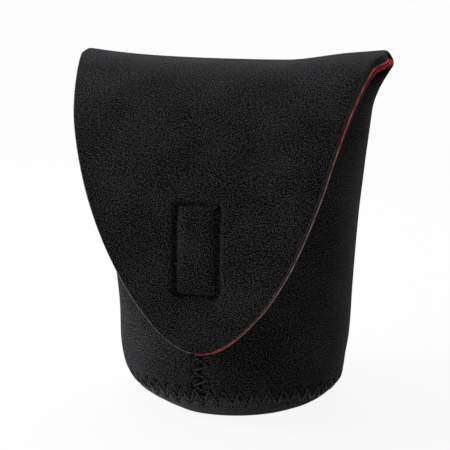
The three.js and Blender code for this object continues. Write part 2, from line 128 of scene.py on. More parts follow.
# Edge sections, each point as (depth below the face, distance out), both in millimetres
CUT_SECTION = [(0.08, 0.22), (0.3, 0.44), (0.7, 0.6), (1.2, 0.66), (1.7, 0.71), (1.98, 0.75), (2.42, 1.0)]
SEAM_SECTION = [(0.3, 0.24), (0.8, 0.36), (1.5, 0.38), (2.1, 0.3)]
LINING_SECTION = [(0.08, 0.16), (0.24, 0.24), (0.38, 0.15)]

# Bands across an edge, each as (first row of points, row after its last, paint number)
SEAM_BANDS = [(0, 2, 0), (1, None, 1)]
CUT_BANDS = [(0, 2, 0), (1, 3, 1), (2, -2, 2), (-3, None, 3)]

# Changes of shape, in three forms:
# a span is (where it starts, where it is full), a growth has its size before its span,
# and a swell is (size, middle, reach)

# How the flap was cut and its lining glued
EDGE_LENGTHS = [0.0, 8.0, 16.0, 30.0, 40.0, 50.0, 60.0, 74.0, 86.0, 97.0, 105.0, 112.0]
EDGE_SHIFTS = [-1.9, -1.9, -1.4, -1.2, -0.7, -0.1, 0.7, 1.2, 1.4, 0.9, 0.2, 0.0]
TIP_LIFT = (0.7, 94.0, 114.0)
TIP_DRAW = (0.25, 96.0, 110.0)
TIP_HANG = (0.4, 100.0, 114.0)
TIP_HANG_ACROSS = (-7.0, 2.0)
LINING_SHIFT = 0.15
LINING_DRAW = (0.6, 72.0, 28.0)
EAR_LINING = (0.9, 7.0, 9.0)
EAR_LINING_ACROSS = (20.0, 45.0)

# How the pouch stands in the photo: its right ear is up and its lower right side is full
TOP_LIFT = 0.6
EAR_LIFT = (1.9, 18.0, 40.0)
LIFT_HEIGHTS = (104.0, 116.0)
EAR_FLARE = 2.95
EAR_FLARE_POWER = 2.3
EAR_FLARE_START = 98.0
EAR_FLARE_RISE = 14.0
EAR_DRAW = (2.3, 112.5, 117.0)
EAR_ACROSS = (25.0, 45.0)
EAR_DEPTHS = (-14.0, -6.0)
LOW_FULLNESS = (1.7, 6.0, 6.0)
RIGHT_HOLLOW = (0.55, 17.0, 8.0)
RIGHT_ACROSS = (-10.0, 40.0)
LEFT_FULLNESS = (0.45, 10.0, 6.0)
LEFT_SPREAD = (0.75, 28.0, 48.0)
LEFT_SPREAD_TOP = (112.0, 96.0)
LEFT_ACROSS = (-15.0, -35.0)
LEFT_HOLLOW = (3.0, 7.0, 0.0)
LEFT_HOLLOW_ACROSS = (-2.0, -18.0)
LEFT_EAR = (0.4, 113.0, 117.0)
LEFT_EAR_ACROSS = (-36.0, -48.0)
SEAM_DIP = (3.3, math.radians(25), math.radians(80))
SEAM_DIP_FOOT = (0.0, BASE_SEAM_HEIGHT)
SEAM_DIP_TOP = (36.0, 12.0)

# How the sewing draws the sheet in, each dent as (depth, reach), and the sheet's soft waves
VALLEY = (0.5, 1.5)
PULL = (0.6, 0.55)
HOLE = (0.7, 0.8)
GROOVE = (2.0, 0.75)
NEEDLE_HOLE = (0.4, 0.7)
SINK_DEPTH = 0.22
SINK_REACH = 3.5
PUFF = (0.3, 0.0, -4.0)
PULL_OVER = 0.6
PULL_FADE = 0.8
SEAM_RUN_OUT = 2.0
GROOVE_WANDER = 0.35
RIPPLE = 0.16
SMALL_RIPPLE = 0.4
WALL_WAVE_SPAN = (WALL_TOP, WALL_TOP - 10.0)
BASE_WAVE_SPAN = (0.5, 3.5)
FLAP_WAVE_SPAN = (FOLD_REACH, FOLD_REACH + 12.0)

# Grids and small steps
CORE = 9.2
CORE_SHARE = 0.4
FOLD_ROWS = 24
FOLD_FLAT_START = -16.0
RIM_FADE = 0.25
WALL_SCALE = 100.0
BASE_MIDDLE_RADIUS = 2.0
SPACING_GROWTH = 0.3
UPPER_SPACING = (0.3, 1.8)
LOWER_SPACING = (0.32, 1.8)
LINING_SPACING = (0.8, 2.6)
STEP = 0.02
TURN_STEP = 0.002
TANGENT_STEP = 0.2
FAR_AWAY = 99.0
SHEET_SHARP = 35
THREAD_SHARP = 60


def smooth(t):
    t = np.clip(t, 0, 1)
    return t * t * (3 - 2 * t)


def climb(value, span):
    start, end = span
    return smooth((value - start) / (end - start))


def growth(value, change):
    return change[0] * climb(value, change[1:])


def bump(distance, reach):
    return np.exp(-((distance / reach) ** 2))


def swell(value, change):
    size, middle, reach = change
    return size * bump(value - middle, reach)


def dent(distance, change):
    depth, reach = change
    return -depth * bump(distance, reach)


def unit(v):
    return v / np.maximum(np.linalg.norm(v, axis=-1, keepdims=True), 1e-12)


def chain_lengths(points):
    """How far along a chain each of its points is."""
    return np.concatenate([[0], np.cumsum(np.linalg.norm(np.diff(points, axis=0), axis=1))])


def graded(start, end, lines, spacing):
    """Places from start to end, close together near each line. Spacing is the closest and the widest."""
    closest, widest = spacing
    places = [start]
    while places[-1] < end:
        gap = min(abs(places[-1] - line) for line in lines)
        places.append(places[-1] + min(widest, closest + SPACING_GROWTH * gap))
    places = np.array(places)
    return start + (places - start) * (end - start) / (places[-1] - start)


def mirrored(half):
    """Places on both sides of zero, from those on one side."""
    return np.concatenate([-half[:0:-1], half])


def ripple(u, v, size, seed):
    """Smooth random waves of about a size, from -1 to 1."""
    count = 64
    knots = np.random.default_rng(seed).uniform(-1, 1, (count, count))
    u, v = u / size, v / size
    i, j = np.floor(u).astype(int), np.floor(v).astype(int)
    a, b = smooth(u - i), smooth(v - j)
    i, j, k, m = i % count, j % count, (i + 1) % count, (j + 1) % count
    low = knots[i, j] * (1 - a) + knots[k, j] * a
    high = knots[i, m] * (1 - a) + knots[k, m] * a
    return low * (1 - b) + high * b


def waves(u, v, large, small, seed):
    return RIPPLE * (ripple(u, v, large, seed) + SMALL_RIPPLE * ripple(u, v, small, seed + 1))


# Side view of the flap's outer face, from the fold forward and down to the tip
def flap_profile():
    angle = np.linspace(0, math.pi / 2, num=4000)
    rise = FOLD_HEIGHT - ARCH_START_HEIGHT
    y = -FLAP_DEPTH * np.sin(angle) ** (2 / ARCH_POWER)
    z = ARCH_START_HEIGHT + rise * np.cos(angle) ** (2 / ARCH_POWER)
    y = np.append(y, -FLAP_DEPTH)
    z = np.append(z, TIP_HEIGHT - PAST_TIP)
    return chain_lengths(np.stack([y, z], axis=-1)), y, z


PROFILE_LENGTH, PROFILE_Y, PROFILE_Z = flap_profile()
FLAP_LENGTH = PROFILE_LENGTH[-1] - PAST_TIP
HOOK_MIDDLE = np.interp(-TAPE_MIDDLE_HEIGHT, -PROFILE_Z, PROFILE_LENGTH)


def profile_point(s):
    return np.interp(s, PROFILE_LENGTH, PROFILE_Y), np.interp(s, PROFILE_LENGTH, PROFILE_Z)


def profile_tangent(s):
    y0, z0 = profile_point(np.maximum(s - TANGENT_STEP, 0))
    y1, z1 = profile_point(s + TANGENT_STEP)
    size = np.hypot(y1 - y0, z1 - z0)
    return (y1 - y0) / size, (z1 - z0) / size


def flap_half_width(s, inset=0.0):
    """Half the flap's width, for an outline drawn in by an inset."""
    taper = FOLD_HALF_WIDTH * (1 - FLAP_TAPER * s / FLAP_LENGTH) - inset
    share = np.clip(s / (FLAP_LENGTH - inset), 0, 1)
    return taper * np.sqrt(np.maximum(0, 1 - share**TIP_POWER))


def right_edge(x, s):
    """Moves places near the flap's right edge to where that edge was cut."""
    near = np.clip(x / np.maximum(flap_half_width(s), CORE), 0, 1) ** 3
    return x + near * np.interp(s, EDGE_LENGTHS, EDGE_SHIFTS)


def flap_point(x, s, depth=0.0):
    """A point on the flap at x, a length s from the fold, and a depth below its outer face."""
    x = right_edge(x, s)
    s = s - growth(s, TIP_LIFT)
    y, z = profile_point(s)
    ty, tz = profile_tangent(s)
    dip = TOP_DIP * (1 - (x / FOLD_HALF_WIDTH) ** 2) * (1 - np.clip(s / DIP_REACH, 0, 1)) ** 2
    return np.stack(np.broadcast_arrays(x, y - tz * depth, z + ty * depth - dip), axis=-1)


# Shape of the body: a round foot that closes upward to a flat fold
def low_radius(z):
    share = np.clip((LOWER_CURVE_HEIGHT - z) / LOWER_CURVE_HEIGHT, 0, 1)
    return BASE_FLAT_RADIUS + (BODY_RADIUS - BASE_FLAT_RADIUS) * np.sqrt(1 - share**2)


def low_slope(z):
    return (low_radius(z + STEP) - low_radius(z - STEP)) / (2 * STEP)


def side_half_width(z):
    ear = np.clip((z - FOLD_HEIGHT + EAR_HEIGHT) / EAR_HEIGHT, 0, 1)
    flare = FOLD_HALF_WIDTH - BODY_RADIUS - SIDE_SPREAD
    return low_radius(z) + SIDE_SPREAD * (z / FOLD_HEIGHT) ** ARCH_POWER + flare * ear**3


def back_depth(z):
    rise = FOLD_HEIGHT - BACK_LEAN_DROP - BACK_LEAN_START
    share = np.clip((z - BACK_LEAN_START) / rise, 0, 1)
    return low_radius(z) * (1 - share**ARCH_POWER) ** (1 / ARCH_POWER)


def front_depth(z):
    """The front wall leans in behind the flap, and leaves room there for the two tapes."""
    pressed = (BODY_RADIUS - PRESSED_DEPTH) * climb(z, PRESS_SPAN)
    s = np.linspace(0, FLAP_LENGTH, num=2000)
    y, height = flap_point(np.full_like(s, FOLD_HALF_WIDTH), s, SHEET + TAPE_STACK)[:, 1:].T
    leaning = np.interp(-z, -height, -y)
    return np.where(z <= ARCH_START_HEIGHT, low_radius(z) - pressed, np.maximum(leaning, LIP_DEPTH))


def turned(turn, out, up):
    """Points or directions at turns about the pouch's axis, counted from the front."""
    return np.stack([out * np.sin(turn), -out * np.cos(turn), up], axis=-1)


def wall_face(turn, z):
    along = np.cos(turn)
    y = np.where(along > 0, -front_depth(z) * along, -back_depth(z) * along)
    return np.stack([side_half_width(z) * np.sin(turn), y, z], axis=-1)


def wall_normal(turn, z):
    across = wall_face(turn + TURN_STEP, z) - wall_face(turn - TURN_STEP, z)
    up = wall_face(turn, z + STEP) - wall_face(turn, z - STEP)
    return unit(np.cross(across, up))


def wall_point(turn, z, depth):
    return wall_face(turn, z) - wall_normal(turn, z) * np.asarray(depth)[..., None]


def front_turn(x, z):
    return np.arcsin(x / side_half_width(z))


def rim_height(turn):
    lip = (WALL_TOP - LIP_HEIGHT) * np.cos(turn) ** 2
    return WALL_TOP - np.where(np.cos(turn) > 0, lip, 0)


def fold_face(turn, x_end, t):
    """From the top of the back wall over to the start of the flap, at a share t of the way."""
    top = np.full_like(turn, WALL_TOP)
    start = wall_face(turn, top)
    rise = unit(start - wall_face(turn, top - STEP))
    end = flap_point(x_end, np.full_like(turn, FOLD_REACH))
    ty, tz = profile_tangent(FOLD_REACH)
    back = np.array([0.0, -ty, -tz])
    reach = np.linalg.norm(end - start, axis=-1, keepdims=True)
    ears = (np.sin(turn) ** 4)[..., None]
    handle = reach * (FOLD_HANDLE_MIDDLE + (FOLD_HANDLE_EAR - FOLD_HANDLE_MIDDLE) * ears)
    leave = start + rise * handle
    arrive = end + back * handle
    return (1 - t) ** 3 * start + 3 * (1 - t) ** 2 * t * leave + 3 * (1 - t) * t**2 * arrive + t**3 * end


# From the even shape of the pattern to how this pouch stands
def dip_seam(points):
    """Slides the base seam down along the curve of the wall, more at the sides than in front."""
    x, y, z = points.T
    turn = np.abs(np.arctan2(x, -y))
    dip = growth(turn, SEAM_DIP) * climb(z, SEAM_DIP_FOOT) * climb(z, SEAM_DIP_TOP)
    grow = 1 + (low_radius(z - dip) - low_radius(z)) / np.maximum(np.hypot(x, y), 1.0)
    return np.stack([x * grow, y * grow, z - dip], axis=-1)


def settle(points):
    x, y, z = dip_seam(points).T
    lift = (TOP_LIFT + growth(x, EAR_LIFT)) * climb(z, LIFT_HEIGHTS)
    share = np.clip((z - EAR_FLARE_START) / EAR_FLARE_RISE, 0, 1)
    flare = EAR_FLARE * share**EAR_FLARE_POWER - growth(z, EAR_DRAW)
    ear = flare * climb(x, EAR_ACROSS) * climb(y, EAR_DEPTHS)
    full = (swell(z, LOW_FULLNESS) - swell(z, RIGHT_HOLLOW)) * climb(x, RIGHT_ACROSS)
    left = swell(z, LEFT_FULLNESS) + growth(z, LEFT_SPREAD) * climb(z, LEFT_SPREAD_TOP)
    left = left * climb(x, LEFT_ACROSS) - growth(z, LEFT_HOLLOW) * climb(x, LEFT_HOLLOW_ACROSS)
    left = left + growth(z, LEFT_EAR) * climb(x, LEFT_EAR_ACROSS)
    return np.stack([x + ear + full - left, y, z + lift], axis=-1)


class Skin:
    """Collects points in millimetres, faces and paint numbers, and turns them into an object."""

    def __init__(self):
        self.points = []
        self.flat = []
        self.faces = []
        self.paint = []
        self.count = 0

    def add(self, points, flat):
        shape = points.shape[:-1]
        self.points.append(points.reshape(-1, 3))
        self.flat.append(np.broadcast_to(flat, shape + (2,)).reshape(-1, 2))
        start = self.count
        self.count += int(np.prod(shape))
        return np.arange(start, self.count).reshape(shape)

    def grid(self, index, paint, wrap=False):
        if wrap:
            index = np.concatenate([index, index[:, :1]], axis=1)
        a, b, c, d = index[:-1, :-1], index[:-1, 1:], index[1:, 1:], index[1:, :-1]
        quads = np.stack([a, b, c, d], axis=-1).reshape(-1, 4)
        self.faces.extend(quads.tolist())
        self.paint.extend([paint] * len(quads))

    def ngon(self, index, paint):
        self.faces.append([int(i) for i in index])
        self.paint.append(paint)

    def build(self, name, materials, sharp):
        points = settle(np.concatenate(self.points)) * MM
        flat = np.concatenate(self.flat)
        mesh = bpy.data.meshes.new(name)
        mesh.from_pydata(points.tolist(), [], self.faces)
        layer = mesh.attributes.new("flat", "FLOAT_VECTOR", "POINT")
        layer.data.foreach_set("vector", np.column_stack([flat, np.zeros(len(flat))]).ravel())
        mesh.polygons.foreach_set("material_index", self.paint)
        for material in materials:
            mesh.materials.append(material)
        work = bmesh.new()
        work.from_mesh(mesh)
        bmesh.ops.recalc_face_normals(work, faces=work.faces)
        work.to_mesh(mesh)
        work.free()
        mesh.polygons.foreach_set("use_smooth", [True] * len(mesh.polygons))
        mesh.set_sharp_from_angle(angle=math.radians(sharp))
        obj = bpy.data.objects.new(name, mesh)
        bpy.context.scene.collection.objects.link(obj)
        return obj


# Sheets
def border(shape):
    """Row and column numbers once round the edge of a grid."""
    rows, columns = shape
    bottom = [(0, j) for j in range(columns)]
    right = [(i, columns - 1) for i in range(1, rows)]
    top = [(rows - 1, j) for j in range(columns - 2, -1, -1)]
    left = [(i, 0) for i in range(rows - 2, 0, -1)]
    return tuple(np.array(bottom + right + top + left).T)


def grid_normals(points):
    across = np.gradient(points, axis=1)
    along = np.gradient(points, axis=0)
    return -unit(np.cross(across, along))


def closed_sheet(name, outer, inner, edge, chain, flat, section, bands, materials, wrap=False):
    """A face, a back, and rows of edge points that join them along a chain round the grid."""
    skin = Skin()
    face = skin.add(outer, flat)
    back = skin.add(inner, flat)
    out = np.array([place[1] for place in section])[:, None, None]
    strip = skin.add(edge, flat[chain][None] + out)
    strip = np.concatenate([face[chain][None], strip, back[chain][None]])
    last = len(materials) - 1
    skin.grid(face, 0, wrap)
    skin.grid(back, last, wrap)
    for start, stop, paint in bands:
        skin.grid(strip[start:stop], min(paint, last), True)
    if wrap:
        skin.ngon(face[0], 0)
        skin.ngon(back[0], last)
    return skin.build(name, materials, SHEET_SHARP)


def edge_points(outer, inner, normal, size, section):
    """The points of a rounded edge along a closed chain, which stands out by a size of 0 to 1."""
    step = np.roll(outer, -1, axis=0) - outer
    weight = np.minimum(size, np.roll(size, -1))[:, None] + 1e-6
    tangent = unit(unit(step) * weight + np.roll(unit(step) * weight, 1, axis=0))
    aside = unit(np.cross(tangent, normal))
    middle = outer.mean(axis=0)
    if np.sum(aside * (outer - middle)) < 0:
        aside = -aside
    thickness = section[-1][0] + section[0][0]
    rows = []
    for depth, out in section:
        share = depth / thickness
        rows.append(outer + (inner - outer) * share + aside * (out * size)[:, None])
    return np.array(rows)


def slab(name, face, normal, depths, flat, size, section, materials, wrap=False):
    """A closed sheet between two depths below a face. Its edges stand out by a size along the border."""
    outer, inner = (face - normal * np.asarray(depth)[..., None] for depth in depths)
    rows, columns = face.shape[:2]
    chain = (np.full(columns, rows - 1), np.arange(columns)) if wrap else border((rows, columns))
    size = np.broadcast_to(size, chain[0].shape)
    edge = edge_points(outer[chain], inner[chain], normal[chain], size, section)
    return closed_sheet(name, outer, inner, edge, chain, flat, section, SEAM_BANDS, materials, wrap)


def ease(points, depth):
    """Draws points together along each column, as the inner side of a sheet is in a tight fold."""
    for _ in range(round(EASE_STEPS * depth)):
        points[1:-1] += (points[:-2] + points[2:] - 2 * points[1:-1]) / 4
    return points


def cut_sheet(name, grid, spacing, layer, relief=None, folded=False):
    """A closed sheet below a grid of the flap's face. Its cut edge follows that grid at other insets."""
    inset, depth, thickness, section, materials = layer
    lining = depth > 0
    flat = grid(inset, spacing, lining)[2]
    lift = relief(flat) if relief else np.zeros(flat.shape[:2])

    def level(drawn_in, below):
        points, normal, _ = grid(drawn_in, spacing, lining)
        rise = lift * (1 - below / thickness) - depth - below
        points = points + normal * rise[..., None]
        return ease(points, depth + below) if folded else points

    outer = level(inset, 0.0)
    inner = level(inset, thickness)
    chain = border(flat.shape[:2])
    edge = np.array([level(inset - out, below)[chain] for below, out in section])
    return closed_sheet(name, outer, inner, edge, chain, flat, section, CUT_BANDS, materials)


# Materials
class Nodes:
    """A node tree, with short calls to add nodes and link them."""

    def __init__(self, tree):
        self.tree = tree

    def add(self, kind, inputs=None, **settings):
        node = self.tree.nodes.new(kind)
        for key, value in settings.items():
            setattr(node, key, value)
        for key, value in (inputs or {}).items():
            self.set(node.inputs[key], value)
        return node

    def set(self, socket, value):
        if isinstance(value, bpy.types.NodeSocket):
            self.tree.links.new(value, socket)
        else:
            socket.default_value = value

    def math(self, operation, a, b=0.0):
        return self.add("ShaderNodeMath", {0: a, 1: b}, operation=operation).outputs[0]

    def place(self):
        return self.add("ShaderNodeTexCoord").outputs["Object"]

    def parts(self, vector):
        return self.add("ShaderNodeSeparateXYZ", {"Vector": vector}).outputs


class Look(Nodes):
    """A material and its shader, whose plain values are set by name."""

    def __init__(self, name, **values):
        self.material = bpy.data.materials.new(name)
        self.material.use_nodes = True
        super().__init__(self.material.node_tree)
        self.shader = self.tree.nodes["Principled BSDF"]
        for key, value in values.items():
            self.shader.inputs[key.replace("_", " ")].default_value = value

    def flat(self):
        return self.add("ShaderNodeAttribute", attribute_name="flat").outputs["Vector"]

    def noise(self, vector, scale, detail=2.0):
        inputs = {"Vector": vector, "Scale": scale, "Detail": detail, "Roughness": 0.5}
        return self.add("ShaderNodeTexNoise", inputs).outputs["Fac"]

    def ramp(self, socket, factor, stops):
        """Links a ramp of colours, or of greys for a plain value, to one of the shader's sockets."""
        node = self.add("ShaderNodeValToRGB", {"Fac": factor})
        elements = node.color_ramp.elements
        while len(elements) < len(stops):
            elements.new(0.5)
        for element, (place, color) in zip(elements, stops):
            element.position = place
            element.color = (*color, 1)
        self.set(self.shader.inputs[socket], node.outputs["Color"])

    def color(self, factor, stops):
        self.ramp("Base Color", factor, stops)

    def bump(self, height, distance, strength):
        inputs = {"Height": height, "Distance": distance, "Strength": strength}
        self.set(self.shader.inputs["Normal"], self.add("ShaderNodeBump", inputs).outputs["Normal"])


def knit_height(look, flat, wale, course, slant):
    """Rows of small V-shaped knit stitches, a wale wide and a course high in millimetres."""
    parts = look.parts(flat)
    across = look.math("PINGPONG", look.math("DIVIDE", parts["X"], wale), 0.5)
    slanted = look.math("MULTIPLY", across, slant)
    along = look.math("ADD", look.math("DIVIDE", parts["Y"], course), slanted)
    wave = look.math("SINE", look.math("MULTIPLY", along, 2 * math.pi))
    rib = look.math("SINE", look.math("MULTIPLY", across, 2 * math.pi))
    return look.math("ADD", look.math("MULTIPLY", wave, 0.5), look.math("MULTIPLY", rib, 0.5))


def knit(name, dark, middle, light, sheen, tint):
    """A fine jersey with a grain of lighter and darker stitches."""
    look = Look(name, Roughness=0.8, Specular_IOR_Level=0.02, Sheen_Weight=sheen, Sheen_Roughness=0.4,
                Sheen_Tint=(*tint, 1))
    flat = look.flat()
    coarse = look.noise(flat, scale=2.2, detail=1.0)
    fine = look.noise(flat, scale=4.1, detail=1.0)
    speckle = look.math("MULTIPLY", look.math("ADD", coarse, fine), 0.5)
    patches = look.math("SUBTRACT", look.noise(flat, scale=0.06, detail=3.0), 0.5)
    patch_share, grain_rise = 0.1, 1.5
    mixed = look.math("ADD", speckle, look.math("MULTIPLY", patches, patch_share))
    look.color(mixed, [(0.44, dark), (0.5, middle), (0.57, light)])
    grain = look.math("MULTIPLY", speckle, grain_rise)
    stitches = knit_height(look, flat, wale=0.62, course=0.52, slant=1.1)
    look.bump(look.math("ADD", stitches, grain), distance=0.00006, strength=0.7)
    return look.material


def foam():
    look = Look("cut_foam", Roughness=0.9, Specular_IOR_Level=0.15)
    inputs = {"Vector": look.place(), "Scale": 4600.0}
    cells = look.add("ShaderNodeTexVoronoi", inputs).outputs["Distance"]
    look.color(cells, [(0.0, (0.0015, 0.0018, 0.0015)), (0.6, (0.007, 0.0075, 0.0065))])
    look.bump(cells, distance=0.00012, strength=0.8)
    return look.material


def frayed_line_painted_highlight():
    """The knit's cut edge as a thin pale line: a painted highlight where the edge catches the light, painted
    paler toward the left where the key light falls. Its flecks are the fray.
    """
    look = Look("frayed_knit_painted_highlight", Roughness=0.9)
    fleck = look.noise(look.flat(), scale=0.9, detail=4.0)
    across = look.parts(look.place())["X"]
    highlight_across = 5.0
    # Painted highlight: the line is made paler toward the left, the side the key light comes from.
    fray_and_highlight = look.math("SUBTRACT", fleck, look.math("MULTIPLY", across, highlight_across))
    look.color(fray_and_highlight, [(0.35, (0.006, 0.006, 0.0065)), (0.65, (0.2, 0.2, 0.2))])
    return look.material


def thread_with_painted_glints():
    look = Look("sewing_thread_painted_glints", Roughness=0.36, Specular_IOR_Level=0.12)
    flat = look.flat()
    parts = look.parts(flat)
    twist = 7.0
    turn = look.math("ADD", look.math("MULTIPLY", parts["X"], twist), parts["Y"])
    # The thread is black; its sparse pale flecks are painted glints of light on the glossy thread.
    fleck = look.noise(flat, scale=2.0)
    look.color(fleck, [(0.55, (0.002, 0.002, 0.0022)), (0.68, (0.17, 0.17, 0.175))])
    look.bump(look.math("SINE", turn), distance=0.00006, strength=0.9)
    return look.material


def tape_weave():
    look = Look("tape_weave", Roughness=0.7, Sheen_Weight=0.1)
    flat = look.flat()
    parts = look.parts(flat)
    warp_turns, weft_turns = 15.0, 12.0
    warp = look.math("SINE", look.math("MULTIPLY", parts["X"], warp_turns))
    weft = look.math("SINE", look.math("MULTIPLY", parts["Y"], weft_turns))
    grey = look.noise(flat, scale=1.5)
    look.color(grey, [(0.3, (0.006, 0.006, 0.007)), (0.7, (0.02, 0.02, 0.022))])
    look.bump(look.math("MULTIPLY", warp, weft), distance=0.00007, strength=0.8)
    return look.material


def flecked(name, scale, detail, colors, rough=None, **values):
    """A plain material with flecks of two colours, which can also differ in roughness."""
    look = Look(name, **values)
    fleck = look.noise(look.flat(), scale, detail)
    look.color(fleck, colors)
    if rough:
        look.ramp("Roughness", fleck, rough)
    return look.material


COOL_TINT = (0.75, 0.77, 0.82)
WARM_TINT = (1.0, 0.6, 0.6)
BLACK = knit("black_knit", dark=(0.0002, 0.0002, 0.0004), middle=(0.0014, 0.0014, 0.002),
             light=(0.049, 0.049, 0.0515), sheen=0.085, tint=COOL_TINT)
RED = knit("red_knit", dark=(0.34, 0.005, 0.0075), middle=(0.55, 0.0095, 0.014),
           light=(0.76, 0.024, 0.029), sheen=0.2, tint=WARM_TINT)
# The base is the black knit painted lighter: painted light, for the floor's light that bounces up onto the
# base.
BASE_KNIT_PAINTED_BOUNCE = knit("base_knit_painted_bounce", dark=(0.006, 0.006, 0.0066), middle=(0.025, 0.025, 0.0265),
                  light=(0.09, 0.09, 0.093), sheen=0.13, tint=COOL_TINT)
FOAM = foam()
# Pale pink line on the cut edge, between the foam and the lining: a painted highlight of the lining's edge.
GLUE_LINE_PAINTED_HIGHLIGHT = flecked("glue_line_painted_highlight", scale=0.3, detail=4.0, Roughness=0.85,
               colors=[(0.35, (0.08, 0.035, 0.037)), (0.65, (0.4, 0.21, 0.22))])
CUT_PAINT = [BLACK, frayed_line_painted_highlight(), FOAM, GLUE_LINE_PAINTED_HIGHLIGHT]
THREAD = thread_with_painted_glints()
WEAVE = tape_weave()
HOOK = flecked("hook_plastic", scale=0.8, detail=2.0, rough=[(0.3, (0.32,) * 3), (0.7, (0.5,) * 3)],
               colors=[(0.3, (0.008, 0.008, 0.009)), (0.7, (0.02, 0.02, 0.022))])
PILE = flecked("loop_pile", scale=0.9, detail=3.0, Roughness=0.75, Sheen_Weight=0.4, Sheen_Roughness=0.5,
               colors=[(0.3, (0.007, 0.007, 0.008)), (0.7, (0.026, 0.026, 0.028))])

# Layers of the flap, as (inset, depth, thickness, edge section, materials)
FOAM_LAYER = (CUT_INSET, 0.0, PANEL, CUT_SECTION, CUT_PAINT)
RED_LAYER = (LINING_INSET, LINING_DEPTH, LINING, LINING_SECTION, [RED])

# Where the stitches of each seam go through the sheet
SEAM_SLOPE = math.hypot(1, low_slope(BASE_SEAM_HEIGHT))
SEAM_RADIUS = low_radius(BASE_SEAM_HEIGHT)
BASE_STITCHES = 2 * round(2 * math.pi * SEAM_RADIUS / ZIGZAG_PITCH)
FRONT_START = BASE_SEAM_HEIGHT + ZIGZAG_HALF_WIDTH + SEAM_END_MARGIN
FRONT_END = LIP_HEIGHT - SEAM_END_MARGIN
FRONT_STITCHES = 1 + 2 * round((FRONT_END - FRONT_START) / ZIGZAG_PITCH)


def nearest(place, first, period):
    """Distance to the nearest of a row of places that repeat."""
    return (place - first + period / 2) % period - period / 2


def zigzag_relief(along, across, period):
    """A zigzag thread pulls the sheet in under each of its runs, and most at the holes on either side."""
    half = ZIGZAG_HALF_WIDTH
    run = np.abs(nearest(along, 0.0, period))
    line = half * (4 * run / period - 1)
    tilt = math.cos(math.atan(4 * half / period))
    inside = smooth((half + PULL_OVER - np.abs(across)) / PULL_FADE)
    relief = dent((across - line) * tilt, PULL) * inside
    for side, first in ((-1, 0.0), (1, period / 2)):
        gap = np.hypot(nearest(along, first, period), across - side * half)
        relief = relief + dent(gap, HOLE)
    return relief


def base_seam_relief(turn, rise):
    period = 4 * math.pi * SEAM_RADIUS / BASE_STITCHES
    return dent(rise, VALLEY) + zigzag_relief(turn * SEAM_RADIUS, rise, period)


def front_seam_relief(x, z):
    period = 2 * (FRONT_END - FRONT_START) / (FRONT_STITCHES - 1)
    return dent(x, VALLEY) + zigzag_relief(z - FRONT_START, x, period) * (z < FRONT_END + SEAM_RUN_OUT)


# Wall: one panel wrapped round from the front seam to the front seam
def wall_grid(seam_gap, around, upward):
    """Turns and heights of a grid on the wall, and how far each turn is in front, from 0 to 1."""
    half_round = math.pi * SEAM_RADIUS
    half = graded(seam_gap, half_round, [seam_gap], around)
    turn = np.concatenate([half, 2 * half_round - half[-2::-1]]) / SEAM_RADIUS
    share = graded(0, WALL_SCALE, [0.0, WALL_SCALE], upward) / WALL_SCALE
    turn, share = np.meshgrid(turn, share)
    front = smooth(np.cos(turn) / RIM_FADE)
    start = BASE_SEAM_HEIGHT + seam_gap / SEAM_SLOPE
    end = rim_height(turn) - RIM_INSET * front
    return turn, start + (end - start) * share, front


def wall_slab(name, turn, z, front, depths, edge_size, section, materials):
    """A sheet of the wall between two depths, whose rim is rounded only in front."""
    rows, columns = border(turn.shape)
    size = np.where(rows == len(turn) - 1, front[rows, columns], edge_size)
    flat = np.stack([turn * SEAM_RADIUS, z], axis=-1)
    return slab(name, wall_face(turn, z), wall_normal(turn, z), depths, flat, size, section, materials)


def wall():
    turn, z, front = wall_grid(SEAM_INSET, around=(0.3, 0.5), upward=(0.3, 1.235))
    x = np.where(np.cos(turn) > 0, side_half_width(z) * np.sin(turn), FAR_AWAY)
    rise = (z - BASE_SEAM_HEIGHT) * SEAM_SLOPE
    relief = base_seam_relief(turn, rise) + front_seam_relief(x, z)
    soft = waves(turn * SEAM_RADIUS, z, large=17.0, small=6.0, seed=1)
    relief = relief + soft * climb(z, WALL_WAVE_SPAN)
    return wall_slab("wall", turn, z, front, (-relief, PANEL), 1.0, SEAM_SECTION, [BLACK, FOAM, FOAM])


def wall_lining():
    turn, z, front = wall_grid(LINING_SEAM_GAP, around=(0.8, 2.2), upward=(0.8, 2.86))
    return wall_slab("wall_lining", turn, z, front, LINING_DEPTHS, LINING_EDGE, LINING_SECTION, [RED])


# Base: a disc whose rim is dished up to meet the wall
def base_curve():
    """The base in section: lengths from its middle, then radii, heights, and normals outward and up."""
    angle = np.linspace(0, math.acos(1 - BASE_SEAM_HEIGHT / LOWER_CURVE_HEIGHT), num=400)
    rim = BODY_RADIUS - BASE_FLAT_RADIUS
    radius = BASE_FLAT_RADIUS + rim * np.sin(angle)
    height = LOWER_CURVE_HEIGHT * (1 - np.cos(angle))
    length = BASE_FLAT_RADIUS + chain_lengths(np.stack([radius, height], axis=-1))
    normal = unit(np.stack([np.sin(angle) / rim, -np.cos(angle) / LOWER_CURVE_HEIGHT], axis=-1))
    return length, (radius, height, normal[:, 0], normal[:, 1])


BASE_LENGTHS, BASE_CURVES = base_curve()
BASE_REACH = BASE_LENGTHS[-1]


def base_grid(inset, columns, spacing):
    """Turns, distances from the rim, points and normals of a grid on the base."""
    distance = graded(BASE_MIDDLE_RADIUS, BASE_REACH - inset, [BASE_REACH], spacing)
    turn = np.linspace(0, 2 * math.pi, columns, endpoint=False)
    turn, distance = np.meshgrid(turn, distance)
    radius, height, out, up = (np.interp(distance, BASE_LENGTHS, curve) for curve in BASE_CURVES)
    radius = np.where(distance < BASE_FLAT_RADIUS, distance, radius)
    return turn, distance - BASE_REACH, turned(turn, radius, height), unit(turned(turn, out, up))


